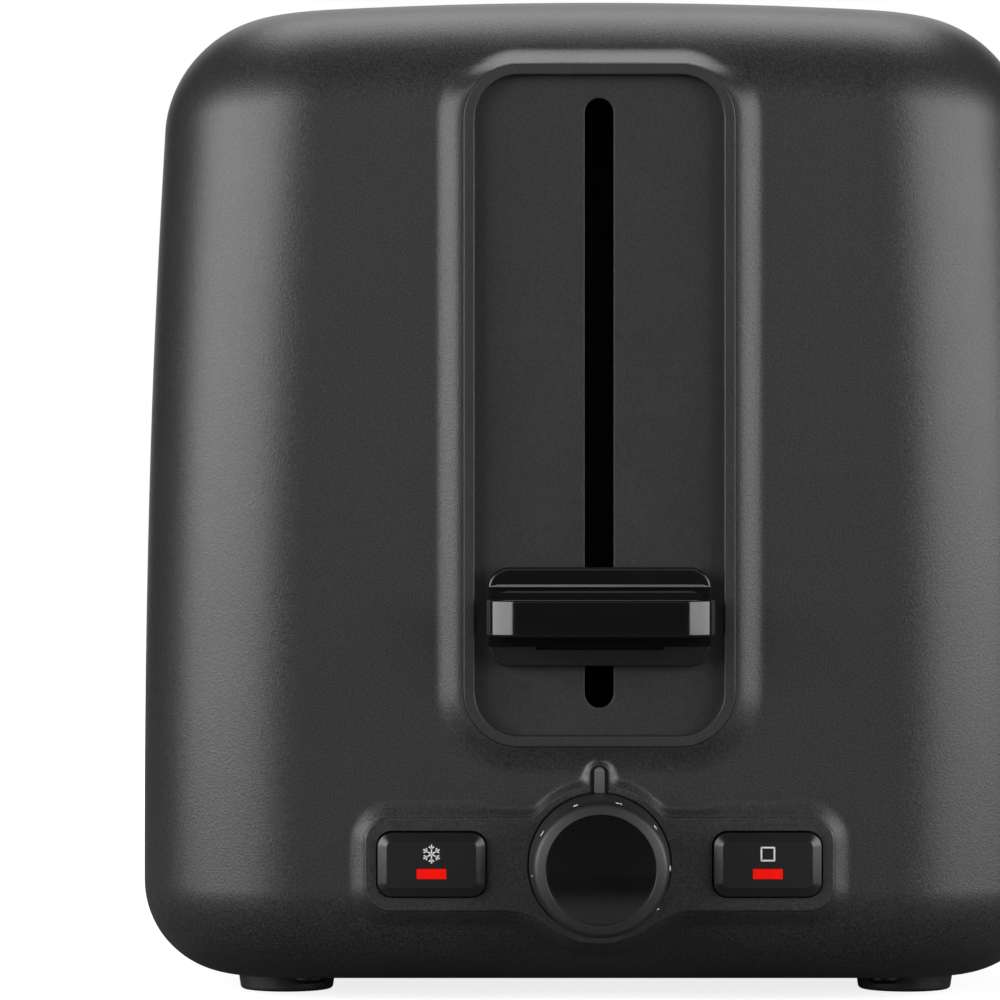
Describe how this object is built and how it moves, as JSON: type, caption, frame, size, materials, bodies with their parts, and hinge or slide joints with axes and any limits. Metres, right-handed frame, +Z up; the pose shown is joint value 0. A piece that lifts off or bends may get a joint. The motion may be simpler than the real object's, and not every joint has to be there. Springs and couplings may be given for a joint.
{
  "type": "pop-up toaster",
  "caption": "Pop-up toaster with long-side bowed black casing, front lever in a framed recess, browning knob between two lit buttons, bread slots in the top and a crumb tray at the rear.",
  "frame": {"origin": "middle of the overall bounding box's underside, on the surface that the feet stand on", "axes": "+Z up, controls on the -Y face, +X to the right of someone facing the controls; +Y runs along the toaster towards the crumb tray's grip"},
  "size_m": [0.18, 0.297, 0.196],
  "materials": {
    "casing_black": "fine-grained satin black plastic",
    "panel_black": "fine-grained satin black plastic",
    "gloss_black": "polished black plastic",
    "slot_plate_black": "black enamelled sheet steel",
    "base_black": "plain black plastic",
    "foot_rubber": "matt black rubber",
    "zinc_steel": "zinc-coated sheet steel",
    "bright_steel": "bright drawn steel",
    "spring_steel": "drawn spring wire",
    "core_steel": "stamped core steel",
    "mica": "pressed mica board",
    "heater_alloy": "resistance ribbon",
    "coil_copper": "enamelled copper winding",
    "board_green": "solder-masked board",
    "component_grey": "moulded component cases",
    "terminal_cream": "glazed connector body",
    "mark_grey": "light grey insert",
    "lens_red": "clear red plastic",
    "lamp_clear": "clear lamp bodies",
    "tray_steel": "plain bright sheet"
  },
  "bodies": {
    "casing": {"base_plate": "base_black", "base_screws": "spring_steel", "board_screws": "spring_steel", "browning_control": "component_grey", "cable_gland": "base_black", "circuit_board": "board_green", "defrost_lamp": "lamp_clear", "defrost_switch": "component_grey", "foot_front_left": "foot_rubber", "foot_front_right": "foot_rubber", "foot_rear_left": "foot_rubber", "foot_rear_right": "foot_rubber", "front_bulkhead": "zinc_steel", "guide_rod_left": "bright_steel", "guide_rod_right": "bright_steel", "heater_card_inner_left": "mica", "heater_card_inner_right": "mica", "heater_card_outer_left": "mica", "heater_card_outer_right": "mica", "heater_ribbon_inner_left": "heater_alloy", "heater_ribbon_inner_right": "heater_alloy", "heater_ribbon_outer_left": "heater_alloy", "heater_ribbon_outer_right": "heater_alloy", "housing": "casing_black", "lever_panel": "panel_black", "lift_spring": "spring_steel", "magnet_coil": "coil_copper", "magnet_yoke": "core_steel", "pointer_mark": "mark_grey", "power_relay": "component_grey", "rear_bulkhead": "zinc_steel", "reflector_left": "zinc_steel", "reflector_right": "zinc_steel", "stop_lamp": "lamp_clear", "stop_switch": "component_grey", "terminal_block": "terminal_cream", "top_plate": "slot_plate_black"},
    "carriage": {"lever_handle": "gloss_black", "lever_stem": "base_black", "carriage_bracket": "zinc_steel", "armature_plate": "core_steel", "bread_rack_left": "zinc_steel", "bread_rack_right": "zinc_steel"},
    "browning_knob": {"browning_knob": "gloss_black", "knob_shaft": "bright_steel"},
    "defrost_button": {"defrost_button": "gloss_black", "defrost_lens": "lens_red"},
    "stop_button": {"stop_button": "gloss_black", "stop_lens": "lens_red"},
    "crumb_tray": {"crumb_tray": "tray_steel", "tray_door": "casing_black"},
    "bread_guard_inner_left": {"bread_guard_inner_left": "bright_steel"},
    "bread_guard_inner_right": {"bread_guard_inner_right": "bright_steel"},
    "bread_guard_outer_left": {"bread_guard_outer_left": "bright_steel"},
    "bread_guard_outer_right": {"bread_guard_outer_right": "bright_steel"}
  },
  "joints": [
    {"name": "carriage_slide", "type": "slide", "parent": "casing", "child": "carriage", "axis": [0, 0, 1], "range_m": [0, 0.09], "deforming": ["lift_spring"]},
    {"name": "browning_turn", "type": "hinge", "parent": "casing", "child": "browning_knob", "pos_m": [0, -0.1285, 0.0277], "axis": [0, -1, 0], "range_deg": [-140, 140]},
    {"name": "crumb_tray_slide", "type": "slide", "parent": "casing", "child": "crumb_tray", "axis": [0, 1, 0], "range_m": [0, 0.19]},
    {"name": "defrost_press", "type": "slide", "parent": "casing", "child": "defrost_button", "axis": [0, 1, 0], "range_m": [0, 0.0012], "stiffness_N_per_m": 1200, "springref_m": -0.0003},
    {"name": "stop_press", "type": "slide", "parent": "casing", "child": "stop_button", "axis": [0, 1, 0], "range_m": [0, 0.0012], "stiffness_N_per_m": 1200, "springref_m": -0.0003},
    {"name": "guard_tilt_inner_left", "type": "hinge", "parent": "casing", "child": "bread_guard_inner_left", "pos_m": [-0.016, 0.0085, 0.033], "axis": [0, 1, 0], "range_deg": [0, 3.05]},
    {"name": "guard_tilt_inner_right", "type": "hinge", "parent": "casing", "child": "bread_guard_inner_right", "pos_m": [0.016, 0.0085, 0.033], "axis": [0, -1, 0], "range_deg": [0, 3.05]},
    {"name": "guard_tilt_outer_left", "type": "hinge", "parent": "casing", "child": "bread_guard_outer_left", "pos_m": [-0.038, 0.0085, 0.033], "axis": [0, -1, 0], "range_deg": [0, 3.05]},
    {"name": "guard_tilt_outer_right", "type": "hinge", "parent": "casing", "child": "bread_guard_outer_right", "pos_m": [0.038, 0.0085, 0.033], "axis": [0, 1, 0], "range_deg": [0, 3.05]}
  ],
  "couplings": [
    {"joint": "guard_tilt_inner_left", "follows": "carriage_slide", "rad_per_m": 0.58178},
    {"joint": "guard_tilt_inner_right", "follows": "carriage_slide", "rad_per_m": 0.58178},
    {"joint": "guard_tilt_outer_left", "follows": "carriage_slide", "rad_per_m": 0.58178},
    {"joint": "guard_tilt_outer_right", "follows": "carriage_slide", "rad_per_m": 0.58178}
  ]
}
